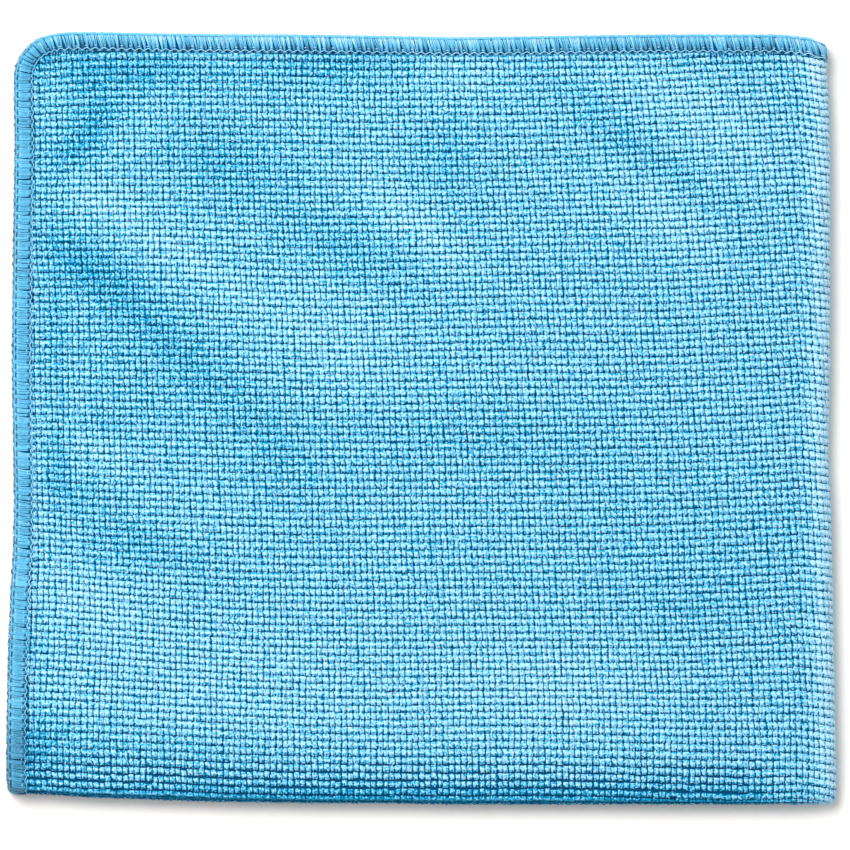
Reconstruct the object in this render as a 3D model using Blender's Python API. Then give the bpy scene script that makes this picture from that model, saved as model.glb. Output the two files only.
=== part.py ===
"""A microfibre cleaning cloth folded in quarters, lying flat: one sheet, one solid.

The cloth is laid out flat as a thin slab with rounded corners and a slightly thicker
overlocked edge. It is folded in half along its length (first fold), then in half across
its width (second fold), and then it settles a little unevenly. All sizes are in
millimetres until the last step. The free edges lie at the left and at the back, the first
fold at the front and the second fold at the right.
"""

import math

import bmesh
import bpy
import numpy as np

MM = 0.001

# The flat cloth.
CUT_WIDTH = 405.0
CUT_LENGTH = 381.0
CLOTH_THICK = 1.8
CORNER_RADIUS = 11.5

# The overlocked edge is a little thicker than the cloth and has a rounded outer side.
RIM_WIDTH = 4.1
RIM_THICK = 2.0
RIM_FADE = 2.5
ROUNDING = 0.8
ROUNDED_SHARE = 0.28

# The folds: four layers, a little apart.
LAYER_GAP = 0.4
PITCH = CLOTH_THICK + LAYER_GAP
STACK = 4 * CLOTH_THICK + 3 * LAYER_GAP
FIRST_TURN = math.pi * PITCH / 2
SECOND_TURN = math.pi * PITCH
FIRST_RUN = (CUT_LENGTH - FIRST_TURN) / 2
SECOND_RUN = (CUT_WIDTH - SECOND_TURN) / 2
FOLDED_LENGTH = FIRST_RUN + CLOTH_THICK + LAYER_GAP / 2
FOLDED_WIDTH = SECOND_RUN + STACK / 2

# How far the outline lies outside the plain rectangle.
# Share of the way from back to front, left edge, second fold.
SIDE_DRIFT = (
    (0.00, -0.1, -1.5),
    (0.03, -0.2, -1.3),
    (0.06, -0.4, -0.8),
    (0.09, -0.4, -0.6),
    (0.15, -0.6, -0.3),
    (0.28, -0.2, -0.3),
    (0.42, 0.1, -0.4),
    (0.54, -0.2, -0.8),
    (0.61, -0.4, -0.1),
    (0.68, -0.2, 0.2),
    (0.74, 0.5, 0.4),
    (0.81, 1.0, 0.7),
    (0.88, 1.3, 0.9),
    (0.97, 1.5, 1.3),
    (1.00, 1.2, 0.9),
)
# Share of the way from left to right, back edge, first fold.
END_DRIFT = (
    (0.00, 0.3, -3.2),
    (0.03, 0.5, -2.4),
    (0.10, 0.7, -1.5),
    (0.17, 0.4, -1.0),
    (0.24, 0.2, -0.5),
    (0.35, 0.1, -0.1),
    (0.47, -0.3, 0.0),
    (0.54, -0.6, 0.25),
    (0.66, -0.3, 0.25),
    (0.80, 0.1, 0.25),
    (0.94, 0.1, 0.25),
    (0.97, -0.4, 0.25),
    (0.99, -1.1, 0.25),
    (1.00, -2.4, 0.15),
)
DRIFT_SOFTENING = (-0.008, -0.004, 0.0, 0.004, 0.008)

# How far each layer's free edges peep out, from the lowest layer to the top one, and how
# far the first fold of the upper two layers stays back from that of the lower two.
# Left edge, back edge.
LAYER_PEEP = (
    (0.2, 0.2),
    (-0.1, 0.4),
    (0.1, 0.1),
    (-0.2, 0.0),
)
UPPER_FOLD_BACK = 0.9

# The top sinks towards both folds.
FRONT_SINK = 1.2
FRONT_SINK_REACH = 18.0
RIGHT_SINK = 0.7
RIGHT_SINK_REACH = 12.0

# Soft ridges of the top layer, from the middle of the cloth.
# East, north, half length, half width, turn in degrees, rise.
RIDGES = (
    (-62.0, 28.0, 27.0, 6.5, -40.0, 1.6),
    (67.0, 63.0, 25.0, 5.0, -41.0, 0.9),
    (59.0, 40.0, 15.0, 5.0, -50.0, 0.5),
    (-6.0, 44.0, 9.0, 5.5, -35.0, 0.6),
    (-79.0, -58.0, 14.0, 7.0, -35.0, 0.9),
    (-82.0, -14.0, 10.0, 5.0, -30.0, 0.5),
    (-65.0, 69.0, 17.0, 5.0, 28.0, 0.7),
    (-77.0, 88.0, 18.0, 7.0, 0.0, 0.5),
    (11.0, 69.0, 9.0, 6.0, -60.0, 0.5),
    (-5.0, 5.0, 30.0, 14.0, -20.0, 1.0),
)

# Spacing of the mesh lines: closer where the top layer shows its ridges.
TOP_STEP = 9.7
HIDDEN_STEP = 25.0
SINK_STEPS = 3
FIRST_TURN_STEPS = 6
SECOND_TURN_STEPS = 8

CLOTH_COLOUR = "5AB4DC"
CLOTH_ROUGHNESS = 0.9


def eased(value):
    """A smooth step from 0 to 1."""
    value = np.clip(value, 0.0, 1.0)
    return value * value * (3.0 - 2.0 * value)


def read_softly(table, column, at):
    """A column of a table at some shares of the way, with its corners rounded off."""
    rows = np.array(table)
    read = [np.interp(at + shift, rows[:, 0], rows[:, column]) for shift in DRIFT_SOFTENING]
    return np.mean(read, axis=0)


def rounded_corners(across, along):
    """Moves points near the flat cloth's square corners onto arcs about the corner centres."""
    inner_across = np.clip(across, CORNER_RADIUS, CUT_WIDTH - CORNER_RADIUS)
    inner_along = np.clip(along, CORNER_RADIUS, CUT_LENGTH - CORNER_RADIUS)
    east = across - inner_across
    north = along - inner_along
    radius = np.maximum(abs(east), abs(north))
    share = np.minimum(abs(east), abs(north)) / np.maximum(radius, 1e-9)
    small = share * math.pi / 4
    angle = np.where(abs(east) >= abs(north), small, math.pi / 2 - small)
    in_corner = (abs(east) > 0) & (abs(north) > 0)
    east = np.where(in_corner, np.sign(east) * radius * np.cos(angle), east)
    north = np.where(in_corner, np.sign(north) * radius * np.sin(angle), north)
    return inner_across + east, inner_along + north


def turned_over(distance, run, turn, centre, depth):
    """A straight run, a half turn about a centre and the run back.

    Returns the distance out from the free edge, the height, and how much of the turn is done.
    """
    done = np.clip((distance - run) / turn, 0.0, 1.0)
    radius = centre - depth
    out = np.minimum(distance, run) - np.maximum(distance - run - turn, 0.0)
    out = out + radius * np.sin(math.pi * done)
    height = centre - radius * np.cos(math.pi * done)
    return out, height, done


def layer_value(column, first_done, second_done):
    """A column of LAYER_PEEP, blended round the folds."""
    lowest, second, third, top = (row[column] for row in LAYER_PEEP)
    lower = lowest * (1 - first_done) + second * first_done
    upper = top * (1 - first_done) + third * first_done
    return lower * (1 - second_done) + upper * second_done


def ridge_height(east, north):
    """How far the soft ridges lift the top layer."""
    height = np.zeros_like(east)
    for ridge_east, ridge_north, half_length, half_width, turn, rise in RIDGES:
        cosine = math.cos(math.radians(turn))
        sine = math.sin(math.radians(turn))
        along = (east - ridge_east) * cosine + (north - ridge_north) * sine
        beside = (north - ridge_north) * cosine - (east - ridge_east) * sine
        height += rise * np.exp(-0.5 * ((along / half_length) ** 2 + (beside / half_width) ** 2))
    return height


def folded(across, along, depth_share):
    """Where points of the flat cloth lie once it is folded in quarters and has settled.

    depth_share goes from 0 on the face that ends up outside to 1 on the other face.
    """
    from_edge = np.minimum.reduce([across, CUT_WIDTH - across, along, CUT_LENGTH - along])
    rim = 1.0 - eased((from_edge - RIM_WIDTH) / RIM_FADE)
    thick = CLOTH_THICK + (RIM_THICK - CLOTH_THICK) * rim
    depth = depth_share * thick
    across, along = rounded_corners(across, along)

    first_centre = thick + LAYER_GAP / 2
    forward, height, first_done = turned_over(along, FIRST_RUN, FIRST_TURN, first_centre, depth)
    second_centre = 2 * first_centre + LAYER_GAP / 2
    right, height, second_done = turned_over(
        across, SECOND_RUN, SECOND_TURN, second_centre, height
    )

    right_share = right / FOLDED_WIDTH
    front_share = forward / FOLDED_LENGTH
    east = right - FOLDED_WIDTH / 2
    north = FOLDED_LENGTH / 2 - forward

    from_front = FOLDED_LENGTH - forward
    from_right = FOLDED_WIDTH - right
    sink = FRONT_SINK * (1 - eased(from_front / FRONT_SINK_REACH))
    sink = sink + RIGHT_SINK * (1 - eased(from_right / RIGHT_SINK_REACH))
    height = height * (1 - sink / STACK)
    on_top = eased(second_done) * (1 - eased(first_done))
    height = height + on_top * ridge_height(east, north)

    left_out = read_softly(SIDE_DRIFT, 1, front_share)
    right_out = read_softly(SIDE_DRIFT, 2, front_share)
    back_out = read_softly(END_DRIFT, 1, right_share)
    front_out = read_softly(END_DRIFT, 2, right_share)
    east = east + right_out * right_share - left_out * (1 - right_share)
    north = north + back_out * (1 - front_share) - front_out * front_share
    east = east - layer_value(0, first_done, second_done) * (1 - right_share) ** 2
    north = north + layer_value(1, first_done, second_done) * (1 - front_share) ** 2
    north = north + UPPER_FOLD_BACK * eased(second_done) * front_share ** 8
    return np.stack([east, north, height], axis=-1)


def run_lines(run, step, sink_reach):
    """Distances from the free edge: the rim, the corner, the plain cloth, the sunk strip."""
    edge = [0.0, ROUNDING, RIM_WIDTH, RIM_WIDTH + RIM_FADE, CORNER_RADIUS]
    plain_end = run - sink_reach
    count = round((plain_end - CORNER_RADIUS) / step)
    plain = np.linspace(CORNER_RADIUS, plain_end, count + 1)[1:]
    sunk = np.linspace(plain_end, run, SINK_STEPS + 1)[1:]
    return np.concatenate([edge, plain, sunk])


def mesh_lines(run, turn, turn_steps, sink_reach, first_step, last_step):
    """Distances of the mesh lines from one free edge of the flat cloth to the other."""
    first = run_lines(run, first_step, sink_reach)
    round_fold = np.linspace(run, run + turn, turn_steps + 1)[1:-1]
    last = 2 * run + turn - run_lines(run, last_step, sink_reach)[::-1]
    return np.concatenate([first, round_fold, last])


def flat_slab(across_lines, along_lines):
    """A closed slab in the flat cloth's plane, with depth shares 0 and 1 as its heights."""
    mesh = bmesh.new()
    columns = len(across_lines)
    bmesh.ops.create_grid(mesh, x_segments=columns - 1, y_segments=len(along_lines) - 1, size=1)
    mesh.verts.ensure_lookup_table()
    for index, vert in enumerate(mesh.verts):
        vert.co = (across_lines[index % columns], along_lines[index // columns], 0.0)
    made = bmesh.ops.extrude_face_region(mesh, geom=mesh.faces[:], use_keep_orig=True)
    raised = [item for item in made["geom"] if isinstance(item, bmesh.types.BMVert)]
    for vert in raised:
        vert.co.z = 1.0
    for vert in mesh.verts:
        at_side = vert.co.x in (0.0, across_lines[-1]) or vert.co.y in (0.0, along_lines[-1])
        if at_side:
            vert.co.z += ROUNDED_SHARE * (1 - 2 * vert.co.z)
    # The cloth's length runs towards the front, so folding mirrors the slab.
    bmesh.ops.recalc_face_normals(mesh, faces=mesh.faces[:])
    bmesh.ops.reverse_faces(mesh, faces=mesh.faces[:])
    return mesh


def fabric_material():
    material = bpy.data.materials.new("sky blue microfibre")
    material.use_nodes = True
    shader = material.node_tree.nodes["Principled BSDF"]
    channels = [int(CLOTH_COLOUR[at:at + 2], 16) / 255 for at in (0, 2, 4)]
    linear = [((channel + 0.055) / 1.055) ** 2.4 for channel in channels]
    shader.inputs["Base Color"].default_value = (*linear, 1.0)
    shader.inputs["Roughness"].default_value = CLOTH_ROUGHNESS
    shader.inputs["Metallic"].default_value = 0.0
    return material


def make_cloth():
    across_lines = mesh_lines(
        SECOND_RUN, SECOND_TURN, SECOND_TURN_STEPS, RIGHT_SINK_REACH, HIDDEN_STEP, TOP_STEP
    )
    along_lines = mesh_lines(
        FIRST_RUN, FIRST_TURN, FIRST_TURN_STEPS, FRONT_SINK_REACH, TOP_STEP, HIDDEN_STEP
    )
    slab = flat_slab(across_lines, along_lines)
    flat = np.array([vert.co for vert in slab.verts])
    placed = folded(flat[:, 0], flat[:, 1], flat[:, 2])
    # The origin is on the surface that the cloth lies on, under the middle of its outline.
    lowest, highest = placed.min(axis=0), placed.max(axis=0)
    placed -= ((lowest[0] + highest[0]) / 2, (lowest[1] + highest[1]) / 2, lowest[2])
    for vert, point in zip(slab.verts, placed):
        vert.co = point * MM

    mesh = bpy.data.meshes.new("cloth")
    slab.to_mesh(mesh)
    slab.free()
    mesh.shade_smooth()
    mesh.set_sharp_from_angle(angle=math.radians(50))
    mesh.materials.append(fabric_material())
    cloth = bpy.data.objects.new("cloth", mesh)
    bpy.context.collection.objects.link(cloth)
    return cloth


def main():
    for old in list(bpy.data.objects):
        bpy.data.objects.remove(old, do_unlink=True)
    make_cloth()


main()
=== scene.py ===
"""The looks of a sky blue microfibre cloth, folded in quarters and lying flat.

The sheet is laid out flat, as it was cut, and folded in half twice. Everything on it is
worked out in the flat cloth's own coordinates and goes through the same fold: the rows of
puffy loops that are its face, and the threads sewn over its edge. Sizes inside the
functions are in millimetres, and meshes are in metres.
"""

import math
from types import SimpleNamespace

import bpy
import mathutils
import numpy as np
from bpy.props import FloatProperty, IntProperty, PointerProperty, StringProperty
from bpy.types import Operator, Panel, PropertyGroup
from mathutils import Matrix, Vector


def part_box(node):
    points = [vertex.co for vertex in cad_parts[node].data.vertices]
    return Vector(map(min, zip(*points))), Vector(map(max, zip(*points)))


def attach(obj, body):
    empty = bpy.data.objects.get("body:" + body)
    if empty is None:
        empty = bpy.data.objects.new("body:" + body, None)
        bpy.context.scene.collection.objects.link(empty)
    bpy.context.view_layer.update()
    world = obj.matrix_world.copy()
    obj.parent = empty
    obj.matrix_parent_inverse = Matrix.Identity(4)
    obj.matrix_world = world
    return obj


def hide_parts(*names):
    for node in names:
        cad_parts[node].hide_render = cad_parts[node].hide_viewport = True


bl_info = {
    "name": "Folded Microfibre Cloth",
    "version": (1, 0, 0),
    "blender": (4, 5, 0),
    "location": "3D View > Sidebar > Cloth",
    "description": "Dresses a folded cloth with its looped face and its overlocked edge",
    "category": "Object",
}

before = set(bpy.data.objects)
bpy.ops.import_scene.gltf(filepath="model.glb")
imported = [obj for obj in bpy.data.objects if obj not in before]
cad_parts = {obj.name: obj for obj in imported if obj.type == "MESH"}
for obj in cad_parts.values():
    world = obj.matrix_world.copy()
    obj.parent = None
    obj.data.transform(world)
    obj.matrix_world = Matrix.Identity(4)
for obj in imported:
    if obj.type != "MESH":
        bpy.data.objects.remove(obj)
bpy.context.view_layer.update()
CLOTH_LOW, CLOTH_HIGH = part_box("cloth")

MM = 0.001

# How far the outline lies outside the plain rectangle.
# Share of the way from back to front, left edge, second fold.
SIDE_DRIFT = (
    (0.00, -0.1, -1.5),
    (0.03, -0.2, -1.3),
    (0.06, -0.4, -0.8),
    (0.09, -0.4, -0.6),
    (0.15, -0.6, -0.3),
    (0.28, -0.2, -0.3),
    (0.42, 0.1, -0.4),
    (0.54, -0.2, -0.8),
    (0.61, -0.4, -0.1),
    (0.68, -0.2, 0.2),
    (0.74, 0.5, 0.4),
    (0.81, 1.0, 0.7),
    (0.88, 1.3, 0.9),
    (0.97, 1.5, 1.3),
    (1.00, 1.2, 0.9),
)
# Share of the way from left to right, back edge, first fold.
END_DRIFT = (
    (0.00, 0.3, -3.2),
    (0.03, 0.5, -2.4),
    (0.046, 0.2, -2.2),
    (0.06, 0.6, -2.0),
    (0.10, 0.7, -1.5),
    (0.17, 0.4, -1.0),
    (0.24, 0.2, -0.5),
    (0.35, 0.1, -0.1),
    (0.47, -0.3, 0.0),
    (0.54, -0.6, 0.25),
    (0.66, -0.3, 0.25),
    (0.80, 0.1, 0.25),
    (0.94, 0.1, 0.25),
    (0.97, -0.4, 0.25),
    (0.99, -1.1, 0.25),
    (1.00, -2.4, 0.15),
)
# Both are averaged over these shifts, which rounds their corners off.
DRIFT_SOFTENING = (-0.008, -0.004, 0.0, 0.004, 0.008)

# How far each layer's free edges peep out, from the lowest layer to the top one, and how
# far the first fold of the upper two layers stays back from that of the lower two.
# Left edge, back edge.
LAYER_PEEP = (
    (0.2, 0.2),
    (-0.1, 0.4),
    (0.1, 0.1),
    (-0.2, 0.0),
)
UPPER_FOLD_BACK = 0.9

# How deep under the outer face its own length round the folds is measured, and how far the
# loops go on past the turn of the first fold.
FACE_DEPTH = 0.4
FACE_PAST_FOLD = 1.0
# Where the folded outline is widest: half way round the first fold, in the layer's middle.
MID_TURN = 1.7
MID_LAYER = 0.9

# The top sinks towards both folds.
FRONT_SINK = 1.2
FRONT_SINK_REACH = 18.0
RIGHT_SINK = 0.7
RIGHT_SINK_REACH = 12.0

# Soft ridges of the top layer, from the middle of the cloth.
# East, north, half length, half width, turn in degrees, rise.
RIDGES = (
    (-62.0, 28.0, 27.0, 6.5, -40.0, 1.6),
    (67.0, 63.0, 25.0, 5.0, -41.0, 0.9),
    (59.0, 40.0, 15.0, 5.0, -50.0, 0.5),
    (-6.0, 44.0, 9.0, 5.5, -35.0, 0.6),
    (-79.0, -58.0, 14.0, 7.0, -35.0, 0.9),
    (-82.0, -14.0, 10.0, 5.0, -30.0, 0.5),
    (-65.0, 69.0, 17.0, 5.0, 28.0, 0.7),
    (-77.0, 88.0, 18.0, 7.0, 0.0, 0.5),
    (11.0, 69.0, 9.0, 6.0, -60.0, 0.5),
    (-5.0, 5.0, 30.0, 14.0, -20.0, 1.0),
)

# Painted light and painted shade on the top and on its edge threads: soft patches, paler or
# deeper, that stand in for the light and shade on its broad rises and hollows, at its corners
# and along the front fold. In the same columns, with how much paler each is painted in the last
# one.
PAINTED_SHADING = (
    (-81.0, 54.0, 7.4, 3.0, -15.0, 0.07),
    (-57.0, 39.0, 18.6, 3.2, -32.0, 0.08),
    (-20.0, 19.0, 11.2, 7.4, -20.0, 0.07),
    (8.0, 84.0, 8.2, 5.0, 0.0, 0.06),
    (70.0, 75.0, 18.6, 6.0, -33.0, 0.09),
    (-2.0, 48.0, 11.2, 3.5, -40.0, 0.11),
    (60.0, 51.0, 11.2, 4.5, -35.0, 0.10),
    (-82.0, -45.0, 11.2, 5.5, -20.0, 0.09),
    (-47.0, -66.0, 37.2, 11.2, 0.0, 0.06),
    (34.0, -67.0, 17.4, 8.7, 0.0, 0.09),
    (-72.0, 87.0, 13.0, 3.0, 0.0, -0.15),
    (-83.0, 82.0, 4.0, 6.0, 0.0, -0.10),
    (-97.0, 72.0, 4.0, 9.0, 0.0, -0.07),
    (-95.0, 90.0, 5.0, 3.0, 0.0, -0.12),
    (-83.0, 70.0, 9.4, 3.2, 48.0, -0.18),
    (-49.0, 65.0, 10.4, 6.9, -20.0, -0.12),
    (7.0, 65.0, 9.9, 6.0, -60.0, -0.07),
    (51.0, 69.0, 19.8, 3.2, -37.0, -0.08),
    (-20.0, 43.0, 13.6, 5.0, -25.0, -0.09),
    (-66.0, 23.0, 23.6, 4.5, -42.0, -0.12),
    (-83.0, 38.0, 8.7, 4.5, -35.0, -0.12),
    (-36.0, -10.0, 13.6, 6.5, -50.0, -0.06),
    (15.0, -5.0, 28.5, 5.5, -5.0, -0.06),
    (-69.0, -30.0, 15.4, 3.0, -25.0, -0.08),
    (67.0, -46.0, 11.2, 6.9, 0.0, -0.04),
    (69.0, -30.0, 24.8, 11.2, 0.0, -0.03),
    (-23.0, 89.0, 14.9, 3.5, 0.0, -0.14),
    (74.0, 89.0, 14.9, 2.2, 0.0, -0.05),
    (-30.0, 93.0, 28.0, 1.6, 0.0, 0.11),
    (-40.0, 83.5, 25.0, 2.6, 0.0, -0.04),
    (50.0, 94.0, 15.0, 2.0, 0.0, -0.07),
    (98.0, 90.0, 5.0, 3.0, 0.0, 0.16),
    (-91.0, 21.0, 2.5, 15.0, 0.0, -0.09),
    (-90.0, -10.0, 2.0, 7.0, 0.0, -0.11),
    (-78.0, -1.5, 5.0, 3.0, -20.0, -0.08),
    (-80.0, -8.0, 5.0, 2.4, -25.0, 0.10),
    (-84.0, -17.5, 7.0, 2.0, -10.0, -0.08),
    (-75.0, -33.0, 7.0, 3.0, -10.0, -0.07),
    (-100.0, -57.5, 5.0, 3.5, 0.0, -0.10),
    (-72.0, 12.0, 14.0, 6.0, -42.0, -0.06),
    (1.0, -93.3, 120.0, 1.9, 0.0, -0.22),
    (95.0, -93.5, 8.0, 3.0, 0.0, 0.08),
    (-72.0, -82.0, 30.0, 4.0, -4.0, -0.08),
    (-97.5, -81.0, 5.0, 6.0, 0.0, -0.18),
    (-103.0, -89.0, 3.0, 4.0, 0.0, -0.20),
)

# The weave isn't square to the cloth: how far south each row of loops lies of a straight
# one, and how far east each column does. Each line is read from west to east at
# BEND_EAST, at that line's distance north of the middle, which is its first number.
BEND_EAST = (
    -97.0, -90.0, -80.0, -64.0, -46.0, -28.0, -10.0, 8.0, 26.0, 44.0, 62.0, 78.0, 90.0, 97.0,
)
ROW_BEND = (
    (92.0, 1.2, 0.3, -0.4, -0.4, -0.2, 0.1, 0.1, 0.1, 0.1, -0.2, -0.1, -1.0, -1.4, -1.5),
    (84.0, 0.6, 0.2, -0.2, -0.3, -0.3, 0.0, 0.5, 0.1, 0.3, -0.2, -0.4, -1.2, -1.5, -1.8),
    (74.0, 0.4, 0.0, -0.2, -0.5, -0.3, -0.1, 0.5, 0.3, 0.3, 0.0, -1.2, -1.5, -1.7, -2.2),
    (60.0, -0.3, -0.2, -0.5, -0.4, -0.4, -0.1, 0.0, 0.4, 0.0, -0.5, -1.0, -1.9, -2.3, -2.6),
    (44.0, -1.0, -1.2, -1.1, -1.1, -0.4, 0.1, -0.2, -0.4, -0.5, -0.9, -1.0, -1.5, -2.2, -2.7),
    (28.0, -1.2, -1.2, -1.4, -1.3, -0.5, 0.1, 0.2, -0.4, -0.9, -0.9, -0.8, -1.8, -1.9, -2.6),
    (10.0, -1.2, -1.1, -0.8, -0.7, -0.6, -0.1, -0.1, -0.4, -0.4, -0.3, -0.7, -1.2, -1.6, -2.4),
    (-8.0, -1.1, -0.9, -0.7, -0.3, 0.3, 0.2, 0.4, 0.3, 0.2, -0.2, -0.3, -0.8, -1.5, -2.1),
    (-26.0, -1.5, -0.9, -0.2, 0.1, 0.7, 1.1, 0.9, 0.8, 0.8, 0.7, 0.2, -0.5, -0.9, -1.7),
    (-44.0, -2.3, -2.1, -1.0, 0.2, 1.2, 1.4, 1.5, 1.4, 1.4, 1.4, 1.0, 0.5, -0.3, -0.9),
    (-58.0, -3.0, -2.5, -1.8, -0.3, 0.9, 1.4, 1.7, 1.4, 1.5, 1.4, 1.5, 0.7, 0.3, -0.3),
    (-69.0, -2.7, -2.3, -1.8, -0.9, 0.1, 1.0, 1.1, 0.9, 0.9, 1.1, 1.5, 1.2, 1.1, 0.6),
    (-79.0, -1.8, -1.6, -1.5, -0.8, 0.1, 0.6, 1.0, 0.4, 0.6, 1.0, 1.4, 1.7, 1.8, 1.3),
    (-86.0, -1.4, -0.8, -0.4, 0.1, 0.9, 1.1, 1.3, 1.4, 1.3, 1.8, 2.1, 2.4, 2.4, 1.7),
    (-92.0, -0.7, -0.2, 0.3, 0.6, 1.6, 2.0, 1.9, 2.1, 1.9, 2.2, 3.1, 3.4, 2.7, 2.6),
)
COLUMN_BEND = (
    (92.0, -0.6, -1.0, -1.7, -2.1, -2.9, -3.0, -3.7, -4.2, -5.2, -6.1, -6.6, -7.3, -7.2, -7.2),
    (84.0, -1.0, -1.1, -1.5, -2.3, -2.9, -3.4, -3.8, -4.4, -4.8, -5.5, -5.6, -6.2, -6.5, -6.5),
    (74.0, -0.4, -0.7, -1.2, -2.0, -2.6, -2.9, -3.4, -4.0, -4.1, -4.7, -4.6, -4.9, -5.2, -5.4),
    (60.0, -0.2, -0.7, -1.0, -1.7, -2.1, -2.9, -3.0, -3.5, -3.4, -3.6, -3.7, -3.9, -3.9, -3.9),
    (44.0, -0.1, -0.6, -0.8, -1.1, -1.5, -2.1, -2.5, -2.2, -2.5, -2.4, -2.4, -2.7, -2.5, -2.6),
    (28.0, 0.8, 0.5, -0.1, -0.7, -0.7, -1.3, -1.5, -1.7, -1.5, -1.4, -1.4, -1.2, -1.4, -1.2),
    (10.0, 0.9, 0.6, 0.3, 0.0, -0.3, -0.5, -0.7, -0.6, -0.2, -0.2, -0.2, 0.0, 0.1, 0.2),
    (-8.0, 1.4, 1.1, 0.8, 0.5, 0.3, 0.3, 0.3, 0.6, 0.8, 1.0, 1.1, 1.3, 1.6, 1.8),
    (-26.0, 1.8, 1.5, 1.1, 0.9, 1.1, 1.1, 1.0, 1.1, 1.3, 1.8, 2.0, 2.3, 2.7, 2.9),
    (-44.0, 1.9, 2.0, 1.7, 1.6, 1.7, 1.6, 1.8, 2.0, 2.3, 2.9, 3.0, 3.3, 3.8, 4.0),
    (-58.0, 1.4, 1.6, 1.9, 1.5, 1.7, 2.0, 2.2, 2.7, 3.3, 3.6, 3.9, 4.4, 4.9, 5.2),
    (-69.0, 0.9, 1.0, 1.3, 1.5, 1.5, 2.0, 2.3, 2.9, 3.6, 4.2, 4.8, 5.1, 5.7, 5.5),
    (-79.0, 0.7, 0.7, 1.0, 1.4, 1.8, 2.1, 2.6, 3.1, 3.8, 4.6, 5.2, 5.7, 6.0, 5.9),
    (-86.0, 0.8, 0.6, 1.0, 1.2, 1.7, 1.9, 2.5, 3.2, 3.8, 4.7, 5.2, 5.9, 6.0, 5.9),
    (-92.0, 0.9, 0.9, 1.2, 1.3, 1.8, 2.2, 2.5, 3.3, 3.7, 4.4, 5.0, 5.4, 5.9, 5.1),
)
BEND_SOFTENING = (-4.0, 0.0, 4.0)
# Over the second fold the rows slant towards the front, from a little before it.
FOLD_SLANT = 0.17
FOLD_SLANT_START = 195.0

# The ground: its mesh lines beside each free edge, by distance in from it, how deep its bare
# face lies on the layers within, and the room that the overlock threads have above it, with
# where that starts to end and how far it takes.
EDGE_LINES = np.array([0.25, 0.8, 2.0, 3.4, 4.4, 6.0])
EDGE_LINES_END = 8.0
BARE_DEPTH = 0.1
THREAD_ROOM = 0.4
UNDER_THREADS = (3.4, 1.0)

# The rows and stitches of the whole face, counted from the middle of the top.
FIRST_ROW, ROWS = -58, 118
FIRST_STITCH, STITCHES = -80, 300

# A loop of the cloth's face, from its left side to its right one along its row. The slit
# between two loops is open at the front and closes towards the back.
# Share of the stitch, half width in row spacings, heights from the back to the front.
LOOP_SHAPE = (
    (0.00, 0.42, (0.0, 0.74, 0.64, 0.05, 0.0)),
    (0.19, 0.51, (0.0, 0.80, 0.97, 0.76, 0.0)),
    (0.81, 0.51, (0.0, 0.80, 0.97, 0.76, 0.0)),
)
UNDER_SHAPE = (
    (0.0, 0.36, (0.0, 0.5, 0.0)),
    (0.5, 0.48, (0.0, 1.0, 0.0)),
)
# The same with each height's place across the row, and how much light it gets.
TOP_LOOPS = (LOOP_SHAPE, (-1.0, -0.92, -0.05, 0.90, 1.0), (1.0, 0.92, 1.0, 0.70, 1.0))
UNDER_LOOPS = (UNDER_SHAPE, (-1.0, 0.0, 1.0), (1.0, 1.0, 1.0))
# How far the foot of a loop lies within the ground.
FOOT_DEPTH = 0.08
# Where the loops of the top end and those of the underside start, over the second fold.
TOP_END = 211.0
# The share of a piece's picture that its upper faces have, and the start and height of the
# strip that its hidden faces share.
PICTURE_SHARE = 0.98
HIDDEN_START, HIDDEN_HEIGHT = 0.985, 0.01

# How the pile changes near the folds and the seam: where each change starts, and how far it
# takes. The first ones are distances past the start of the first fold.
ROWS_OPEN = (-11.0, 9.0)
FRONT_ROUND = (-0.4, 1.0)
FRONT_STRIP = (0.9, 1.0)
# These are distances over the face from the left edge.
BOTH_FOLDS = (178.0, 14.0)
FOLD_FLAT_AND_PAINTED_LIGHT = (194.5, 10.0)
FOLD_ROUND = (199.5, 2.0)
FOLD_PASSED = (212.0, 10.0)
# And this one is the distance in from the needle holes.
SEAM_PRESS = (-0.1, 0.6)
# What the open rows at the first fold lose in width and in the height of their slits, how
# much more unevenly they lie, and how much less open they are where both folds meet.
OPEN_NARROWER, OPEN_LOWER, OPEN_UNEVEN, BOTH_CLOSED = 0.20, 0.45, 1.5, 0.8
# How far the slits close round each fold, and how much less where both meet.
FRONT_CLOSED, RIGHT_CLOSED, BOTH_LESS_CLOSED = 0.8, 0.85, 0.6
# How far the pile on the second fold is flattened and to what height, and how much paler it is
# painted: painted light on the turn of the second fold.
WORN_SHARE, WORN_HEIGHT, FOLD_PAINTED_LIGHT = 0.5, 0.95, 0.26
# How much deeper the flat strip at the first fold is painted, as painted shade where the fold
# turns away from the light, and how much less of it there is where both folds meet.
FRONT_PAINTED_SHADE, BOTH_LESS_STRIP = -0.50, 0.85
# Shares of the height and of the light left where the seam presses, and of the light that
# gets into the slits and to the feet of the loops.
PRESSED_HEIGHT, PRESSED_LIGHT, SLIT_LIGHT, FOOT_LIGHT = 0.1, 0.3, 0.78, 0.25

# Stray threads: the space that they lie in, how long they are and how much they bend, how
# many are rings, how thick they are, how far they stand up from the face, and their mesh.
STRAY_EAST, STRAY_FRONT = (8.0, 194.0), (8.0, 183.0)
STRAY_LENGTH, STRAY_BEND = (1.8, 7.0), 0.35
RING_SHARE, RING_LENGTH, RING_BEND = 0.22, 3.6, 1.7
STRAY_RADIUS, STRAY_REST, STRAY_LIFT = 0.09, 0.02, 0.12
STRAY_SECTIONS = 15

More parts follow.
